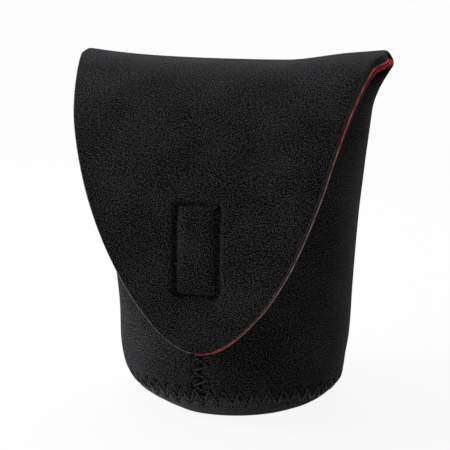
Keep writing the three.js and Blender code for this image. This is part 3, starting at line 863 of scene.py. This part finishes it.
def base():
    turn, rise, point, normal = base_grid(SEAM_INSET, 4 * BASE_STITCHES, spacing=(0.3, 3.0))
    soft = RIPPLE * ripple(turn * SEAM_RADIUS, rise, size=9.0, seed=3)
    relief = base_seam_relief(turn, rise) + soft * climb(point[..., 2], BASE_WAVE_SPAN)
    # The base's lighter knit is painted bounce light from the floor.
    paint = [BASE_KNIT_PAINTED_BOUNCE, FOAM, FOAM]
    return slab("base", point, normal, (-relief, PANEL), point[..., :2], 1.0, SEAM_SECTION, paint, wrap=True)


def base_lining():
    _, _, point, normal = base_grid(LINING_SEAM_GAP, BASE_STITCHES, spacing=(0.8, 3.0))
    flat = point[..., :2]
    return slab("base_lining", point, normal, LINING_DEPTHS, flat, LINING_EDGE, LINING_SECTION, [RED],
                wrap=True)


# Line sewn round a tape, with rounded corners
def sewn_rectangle(length):
    """Half the width and half the length of the line sewn round a tape."""
    return STITCH_HALF_WIDTH, length / 2 - TAPE_STITCH_INSET


def rectangle_distance(x, up, length):
    """Distance from the sewn line: negative inside it."""
    width, height = sewn_rectangle(length)
    over_x = np.abs(x) - width + TAPE_CORNER_RADIUS
    over_up = np.abs(up) - height + TAPE_CORNER_RADIUS
    outside = np.hypot(np.maximum(over_x, 0), np.maximum(over_up, 0))
    return outside + np.minimum(np.maximum(over_x, over_up), 0) - TAPE_CORNER_RADIUS


def rectangle_places(length):
    """Where the stitches of the sewn line go through."""
    radius = TAPE_CORNER_RADIUS
    width, height = (half - radius for half in sewn_rectangle(length))
    corners = [(width, height), (-width, height), (-width, -height), (width, -height)]
    path = []
    for quarter, (x, up) in enumerate(corners):
        for angle in np.linspace(0, math.pi / 2, num=9) + quarter * math.pi / 2:
            path.append((x + radius * math.cos(angle), up + radius * math.sin(angle)))
    path = np.array(path + path[:1])
    along = chain_lengths(path)
    where = np.linspace(0, along[-1], round(along[-1] / TAPE_STITCH_LENGTH), endpoint=False)
    return np.interp(where, along, path[:, 0]), np.interp(where, along, path[:, 1])


# Flap: its upper part bends at the fold, and its lower part at the shoulder
def flap_columns(spacing):
    return mirrored(graded(0.0, FOLD_HALF_WIDTH, [STITCH_HALF_WIDTH, FOLD_HALF_WIDTH], spacing))


def flap_x(column, s, inset):
    """The place across the flap of a column. Columns near the middle keep their place down the flap."""
    half = flap_half_width(s, inset)
    core = np.minimum(CORE, CORE_SHARE * half)
    size = np.abs(column)
    near = size * core / CORE
    far = core + (size - CORE) * (half - core) / (FOLD_HALF_WIDTH - CORE)
    return np.sign(column) * np.where(size < CORE, near, far)


def lining_shift(x, s):
    """How far the lining is shifted to the right at x, a length s from the fold."""
    ear = swell(s, EAR_LINING) * climb(x, EAR_LINING_ACROSS)
    return LINING_SHIFT + ear - swell(s, LINING_DRAW) - growth(s, TIP_DRAW)


def fold_rows(column, inset):
    x_end = flap_x(column, np.full_like(column, FOLD_REACH), inset)
    share = x_end / flap_half_width(FOLD_REACH, inset)
    ear_inset = inset / back_depth(WALL_TOP)
    turn = math.pi - np.arcsin(np.clip(share, -1, 1)) * (1 - ear_inset / (math.pi / 2))
    return np.array([fold_face(turn, x_end, t) for t in np.linspace(0, 1, FOLD_ROWS)])


def flap_upper_grid(inset, spacing, lining):
    """Points, normals and flat places of the fold and the top of the flap."""
    column = flap_columns(spacing)
    fold = fold_rows(column, inset)
    column, s = np.meshgrid(column, np.linspace(FOLD_REACH, FLAP_SPLIT, FOLD_ROWS)[1:])
    points = np.concatenate([fold, flap_point(flap_x(column, s, inset), s)])
    length = np.concatenate([np.linspace(FOLD_FLAT_START, FOLD_REACH, FOLD_ROWS), s[:, 0]])[:, None]
    if lining:
        points[..., 0] += lining_shift(points[..., 0], length)
    flat = np.stack(np.broadcast_arrays(points[..., 0], length), axis=-1)
    return points, grid_normals(points), flat


def flap_lower_grid(inset, spacing, lining):
    """Points, normals and flat places of the shoulder and the tongue."""
    half_length = sewn_rectangle(HOOK_TAPE_LENGTH)[1]
    lines = [HOOK_MIDDLE - half_length, HOOK_MIDDLE + half_length, FLAP_LENGTH]
    s = graded(FLAP_SPLIT, FLAP_LENGTH, lines, spacing)
    end = FLAP_LENGTH - inset - TIP_TRIM
    s = FLAP_SPLIT + (s - FLAP_SPLIT) * (end - FLAP_SPLIT) / (FLAP_LENGTH - FLAP_SPLIT)
    column, s = np.meshgrid(flap_columns(spacing), s)
    x = flap_x(column, s, inset)
    flat = np.stack([x, s], axis=-1)
    if lining:
        x = x + lining_shift(x, s)
        s = s + growth(s, TIP_HANG) * climb(x, TIP_HANG_ACROSS)
    points = flap_point(x, s)
    return points, grid_normals(points), flat


def flap_relief(flat):
    x, s = flat[..., 0], flat[..., 1]
    start = 200
    return waves(x + start, s, large=19.0, small=7.0, seed=4) * climb(s, FLAP_WAVE_SPAN)


def groove_relief(x, up):
    """The sheet is drawn in along the sewn line, most of all at the needle holes."""
    distance = rectangle_distance(x, up, HOOK_TAPE_LENGTH)
    start = 50
    wander = GROOVE_WANDER * ripple(x + start, up + start, size=1.5, seed=6)
    sink = SINK_DEPTH * np.exp(-np.abs(distance) / SINK_REACH)
    relief = dent(distance + wander, GROOVE) - sink + growth(distance, PUFF)
    hole_x, hole_up = rectangle_places(HOOK_TAPE_LENGTH)
    gap = np.min(np.hypot(x[..., None] - hole_x, up[..., None] - hole_up), axis=-1)
    return relief + dent(gap, NEEDLE_HOLE)


def tongue_relief(flat):
    return flap_relief(flat) + groove_relief(flat[..., 0], HOOK_MIDDLE - flat[..., 1])


# Threads
def tube(skin, path, outward, radius, sides, closed):
    """A round thread along points, each with the direction away from the sheet."""
    if closed:
        tangent = unit(np.roll(path, -1, axis=0) - np.roll(path, 1, axis=0))
    else:
        tangent = unit(np.gradient(path, axis=0))
    aside = unit(np.cross(outward, tangent))
    up = np.cross(tangent, aside)
    angle = np.linspace(0, 2 * math.pi, sides, endpoint=False)[None, :, None]
    ring = path[:, None] + radius * (np.cos(angle) * aside[:, None] + np.sin(angle) * up[:, None])
    flat = np.stack(np.broadcast_arrays(chain_lengths(path)[:, None], angle[..., 0]), axis=-1)
    index = skin.add(ring, flat)
    if closed:
        index = np.concatenate([index, index[:1]])
    else:
        skin.ngon(index[0], 0)
        skin.ngon(index[-1], 0)
    skin.grid(index, 0, wrap=True)


def stitched(name, holes, outward, rise, dip, closed):
    """A thread that dips at each hole and rises over the sheet between two holes."""
    steps, roundness = 7, 0.6
    points, away = [], []
    count = len(holes)
    for i in range(count if closed else count - 1):
        k = (i + 1) % count
        for share in np.arange(steps) / steps:
            lift = (rise + dip) * math.sin(math.pi * share) ** roundness - dip
            direction = unit(outward[i] * (1 - share) + outward[k] * share)
            points.append(holes[i] * (1 - share) + holes[k] * share + direction * lift)
            away.append(direction)
    skin = Skin()
    tube(skin, np.array(points), np.array(away), THREAD_RADIUS, sides=6, closed=closed)
    return skin.build(name, [THREAD], THREAD_SHARP)


# Holes of the seams: their points, and the direction away from the sheet at each
def base_holes():
    number = np.arange(BASE_STITCHES)
    turn = 2 * math.pi * number / BASE_STITCHES
    z = BASE_SEAM_HEIGHT + np.where(number % 2, 1, -1) * ZIGZAG_HALF_WIDTH / SEAM_SLOPE
    return turned(turn, low_radius(z), z), unit(turned(turn, 1.0, -low_slope(z)))


def front_holes(first):
    number = np.arange(first, FRONT_STITCHES)
    z = FRONT_START + (FRONT_END - FRONT_START) * number / (FRONT_STITCHES - 1)
    turn = front_turn(np.where(number % 2, 1, -1) * ZIGZAG_HALF_WIDTH, z)
    return wall_face(turn, z), wall_normal(turn, z)


def uneven(holes, jitter, seed):
    point, normal = holes
    return point + np.random.default_rng(seed).normal(0, jitter, point.shape), normal


def inside(holes, gap=0.2):
    """The same holes on the lining, for the bobbin thread."""
    point, normal = holes
    return point - normal * (SHEET + gap), -normal


def tape_holes(length, seat, height):
    x, up = rectangle_places(length)
    low = seat(x, up, height)
    return low, unit(seat(x, up, height + 1.0) - low)


# Each seat gives the point at x and up on a tape, at a height over what carries it
def hook_seat(x, up, height):
    return flap_point(x, HOOK_MIDDLE - up, SHEET + TAPE_GAP + height)


def groove_seat(x, up, height, sunk=0.15):
    return flap_point(x, HOOK_MIDDLE - up, GROOVE[0] + sunk - height)


LOOP_STAND = 0.2
LOOP_HUMP = (0.7, 0.0, 3.6)


def loop_seat(x, up, height):
    """The loop tape rides up over the front seam's thread."""
    z = TAPE_MIDDLE_HEIGHT + up
    return wall_point(front_turn(x, z), z, -(LOOP_STAND + swell(x, LOOP_HUMP) + height))


def inside_seat(x, up, height, gap=0.25):
    z = TAPE_MIDDLE_HEIGHT + up
    return wall_point(front_turn(x, z), z, SHEET + gap + height)


# Tapes
def tape_base(name, length, seat):
    """A woven tape with rounded corners."""
    half, half_length = TAPE_WIDTH / 2, length / 2
    up = mirrored(graded(0, half_length, [half_length], spacing=(0.2, 1.2)))
    across = mirrored(graded(0, 1.0, [1.0], spacing=(0.04, 0.12)))
    across, up = np.meshgrid(across, up)
    past = np.clip((np.abs(up) - half_length + TAPE_CORNER_RADIUS) / TAPE_CORNER_RADIUS, 0, 1)
    x = across * (half - TAPE_CORNER_RADIUS * (1 - np.sqrt(1 - past**2)))
    outer = seat(x, up, TAPE_BASE)
    normal = unit(outer - seat(x, up, 0.0))
    flat = np.stack([x, up], axis=-1)
    return slab(name, outer, normal, (0.0, TAPE_BASE), flat, TAPE_EDGE, LINING_SECTION, [WEAVE])


def field_places(length, spacing, jitter, seed):
    half = TAPE_WIDTH / 2 - TAPE_FIELD_INSET
    half_length = length / 2 - TAPE_FIELD_INSET
    across = np.linspace(-half, half, round(2 * half / spacing) + 1)
    along = np.linspace(-half_length, half_length, round(2 * half_length / spacing) + 1)
    across, along = (part.ravel() for part in np.meshgrid(across, along))
    shift = np.random.default_rng(seed).normal(0, jitter, (2, len(across)))
    return across + shift[0], along + shift[1]


def hooks():
    """Rows of small hooks, bent over alternately up and down the tape."""
    x, up = field_places(HOOK_TAPE_LENGTH, spacing=1.05, jitter=0.03, seed=21)
    stem_share, stem_rise = 0.35, 1.9
    curl_radius, curl_angle = 0.28, math.radians(190)
    share = np.linspace(0, 1, num=7)
    curl = np.maximum(share - stem_share, 0) / (1 - stem_share) * curl_angle
    height = TAPE_BASE + np.minimum(share, stem_share) * stem_rise + curl_radius * np.sin(curl)
    reach = curl_radius * (1 - np.cos(curl))
    aside = np.tile([1.0, 0.0, 0.0], (len(share), 1))
    skin = Skin()
    for i in range(len(x)):
        lean = 1 if i % 2 else -1
        path = hook_seat(np.full_like(share, x[i]), up[i] + lean * reach, height)
        tube(skin, path, aside, radius=0.112, sides=4, closed=False)
    return skin.build("hook_field", [HOOK], THREAD_SHARP)


def loops():
    """A pile of small thread loops that lean every way."""
    x, up = field_places(LOOP_TAPE_LENGTH, spacing=0.85, jitter=0.22, seed=22)
    draw = np.random.default_rng(23)
    root, tilt = 0.05, 0.3
    angle = np.linspace(0, math.pi, num=7)
    skin = Skin()
    for i in range(len(x)):
        heading = draw.uniform(0, 2 * math.pi)
        width = draw.uniform(0.35, 0.75)
        height = draw.uniform(0.45, 0.85)
        lean = draw.normal(0, 0.25)
        along = width * np.cos(angle)
        aside = lean * np.sin(angle)
        place_x = x[i] + along * math.cos(heading) - aside * math.sin(heading)
        place_up = up[i] + along * math.sin(heading) + aside * math.cos(heading)
        path = loop_seat(place_x, place_up, TAPE_BASE - root + height * np.sin(angle))
        away = np.tile([math.sin(heading), tilt, math.cos(heading)], (len(angle), 1))
        tube(skin, path, away, radius=0.07, sides=3, closed=False)
    return skin.build("loop_field", [PILE], THREAD_SHARP)


# Put some pieces on their bodies, and hide the solids that the pieces cover
def dress(piece, slot, body, *nodes):
    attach(piece, body)
    if nodes:
        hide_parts(*nodes)
    return piece


def bend(piece, slot, bodies, start, end, *nodes):
    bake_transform(piece)
    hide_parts(*nodes)
    return piece


def add_pouch():
    sheet_wall = dress(wall(), "black_neoprene", "pouch", "wall_panel")
    red_wall = dress(wall_lining(), "red_lining", "pouch", "wall_lining")
    sheet_base = dress(base(), "black_neoprene", "pouch", "base_disc")
    red_base = dress(base_lining(), "red_lining", "pouch", "base_lining")


def add_flap():
    fold_end = (0, -FOLD_BEND_REACH, FOLD_HINGE_HEIGHT + FOLD_BEND_RISE)
    fold = (("pouch", "flap_top"), (0, 0, FOLD_HINGE_HEIGHT), fold_end)
    start, end = ((0, *map(float, profile_point(s))) for s in (SHOULDER_START, SHOULDER_END))
    shoulder = (("flap_top", "flap_tongue"), start, end)
    top = cut_sheet("flap_upper", flap_upper_grid, UPPER_SPACING, FOAM_LAYER, flap_relief, folded=True)
    bend(top, "black_neoprene", *fold, "fold_panel", "flap_top_panel")
    red_top = cut_sheet("flap_upper_lining", flap_upper_grid, LINING_SPACING, RED_LAYER, folded=True)
    bend(red_top, "red_lining", *fold, "fold_lining", "flap_top_lining")
    low = cut_sheet("flap_lower", flap_lower_grid, LOWER_SPACING, FOAM_LAYER, tongue_relief)
    bend(low, "black_neoprene", *shoulder, "shoulder_panel", "tongue_panel")
    red_low = cut_sheet("flap_lower_lining", flap_lower_grid, LINING_SPACING, RED_LAYER)
    bend(red_low, "red_lining", *shoulder, "shoulder_lining", "tongue_lining")


def add_tapes():
    tapes = [
        ("hook_tape", "hook", "flap_tongue", HOOK_TAPE_LENGTH, hook_seat, hooks),
        ("loop_tape", "loop", "pouch", LOOP_TAPE_LENGTH, loop_seat, loops),
    ]
    for name, slot, body, length, seat, make_field in tapes:
        tape = dress(tape_base(name, length, seat), slot, body, name)
        field = dress(make_field(), slot, body)


def add_threads():
    """Only the front seam's two threads are open at their ends."""
    hook_groove = tape_holes(HOOK_TAPE_LENGTH, groove_seat, 0.0)
    hook_back = tape_holes(HOOK_TAPE_LENGTH, hook_seat, TAPE_BASE)
    loop_face = tape_holes(LOOP_TAPE_LENGTH, loop_seat, TAPE_BASE)
    loop_back = tape_holes(LOOP_TAPE_LENGTH, inside_seat, 0.0)
    threads = [
        ("front_seam_thread", "pouch", uneven(front_holes(-1), jitter=0.15, seed=12), 0.2, 0.55, False),
        ("front_seam_bobbin_thread", "pouch", inside(front_holes(0)), 0.2, 0.05, False),
        ("base_seam_thread", "pouch", uneven(base_holes(), jitter=0.12, seed=11), 0.12, 0.55, True),
        ("base_seam_bobbin_thread", "pouch", inside(base_holes()), 0.2, 0.05, True),
        ("hook_tape_thread", "flap_tongue", hook_groove, 0.35, 0.4, True),
        ("hook_tape_bobbin_thread", "flap_tongue", hook_back, 0.25, 0.2, True),
        ("loop_tape_thread", "pouch", loop_face, 0.25, 0.2, True),
        ("loop_tape_bobbin_thread", "pouch", loop_back, 0.25, 0.1, True),
    ]
    for name, body, (holes, outward), rise, dip, closed in threads:
        dress(stitched(name, holes, outward, rise, dip, closed), "thread", body, name)


# Floor, light and camera, in metres
FLOOR_NEAR = 0.18
FLOOR_FAR = 0.6
FLOOR_COLOR = (0.9, 0.9, 0.9, 1)
NEAR_GLOW = 0.91
FAR_GLOW = 0.985
NEAR_TINT = 0.08
AMBIENT = 0.128


def seen_directly(nodes):
    """1 for rays from the camera, and for rays that a glossy or clear surface sends on."""
    path = nodes.add("ShaderNodeLightPath").outputs
    seen = nodes.math("MAXIMUM", path["Is Camera Ray"], path["Is Glossy Ray"])
    return nodes.math("MAXIMUM", seen, path["Is Transmission Ray"])


def by_distance(nodes, near, far):
    """A value on the floor that goes from near to far with the distance from the pouch."""
    length = nodes.add("ShaderNodeVectorMath", {0: nodes.place()}, operation="LENGTH").outputs["Value"]
    span = {"Value": length, "From Min": FLOOR_NEAR, "From Max": FLOOR_FAR, "To Min": near, "To Max": far}
    return nodes.add("ShaderNodeMapRange", span, interpolation_type="SMOOTHSTEP").outputs["Result"]


def floor():
    bpy.ops.mesh.primitive_plane_add(size=8.0)
    plane = bpy.context.object
    plane.name = "floor"
    look = Look("floor")
    look.tree.nodes.remove(look.shader)
    matt = look.add("ShaderNodeBsdfDiffuse", {"Color": FLOOR_COLOR}).outputs[0]
    pale = look.add("ShaderNodeBsdfDiffuse", {"Color": by_distance(look, NEAR_TINT, 0.0)}).outputs[0]
    strength = by_distance(look, NEAR_GLOW, FAR_GLOW)
    glow = look.add("ShaderNodeEmission", {"Strength": strength}).outputs[0]
    both = look.add("ShaderNodeAddShader", {0: pale, 1: glow}).outputs[0]
    mix = look.add("ShaderNodeMixShader", {0: seen_directly(look), 1: matt, 2: both}).outputs[0]
    look.set(look.tree.nodes["Material Output"].inputs["Surface"], mix)
    plane.data.materials.append(look.material)


def world():
    studio = bpy.data.worlds.new("studio")
    bpy.context.scene.world = studio
    studio.use_nodes = True
    nodes = Nodes(studio.node_tree)
    mix = nodes.add("ShaderNodeMix", {"Factor": seen_directly(nodes), "A": AMBIENT, "B": 1.0})
    background = nodes.tree.nodes["Background"].inputs
    background["Color"].default_value = (1, 1, 1, 1)
    nodes.set(background["Strength"], mix.outputs["Result"])


def aimed(name, data, place, aim):
    """Adds a lamp or a camera at a place, turned to what it aims at."""
    obj = bpy.data.objects.new(name, data)
    bpy.context.scene.collection.objects.link(obj)
    obj.location = place
    obj.rotation_euler = (Vector(aim) - Vector(place)).to_track_quat("-Z", "Y").to_euler()
    return obj


def lamp(name, place, aim, size, power):
    light = bpy.data.lights.new(name, "AREA")
    light.shape = "DISK"
    light.size = size
    light.energy = power
    aimed(name, light, place, aim)


def camera(place, aim, lens):
    data = bpy.data.cameras.new("camera")
    data.lens = lens
    data.sensor_width = 36.0
    data.clip_start = 0.01
    bpy.context.scene.camera = aimed("camera", data, place, aim)


add_pouch()
add_flap()
add_tapes()
add_threads()
floor()
world()
lamp("key", place=(-1.0, -0.22, 0.5), aim=(0, 0, 0.06), size=0.7, power=13.7)
lamp("top", place=(-0.2, 0.35, 0.95), aim=(0, 0, 0.08), size=0.8, power=6.4)
camera(place=(0.1141, -0.3896, 0.1528), aim=(-0.0033, -0.0010, 0.0587), lens=97.8)
bpy.context.scene.view_settings.view_transform = "Standard"
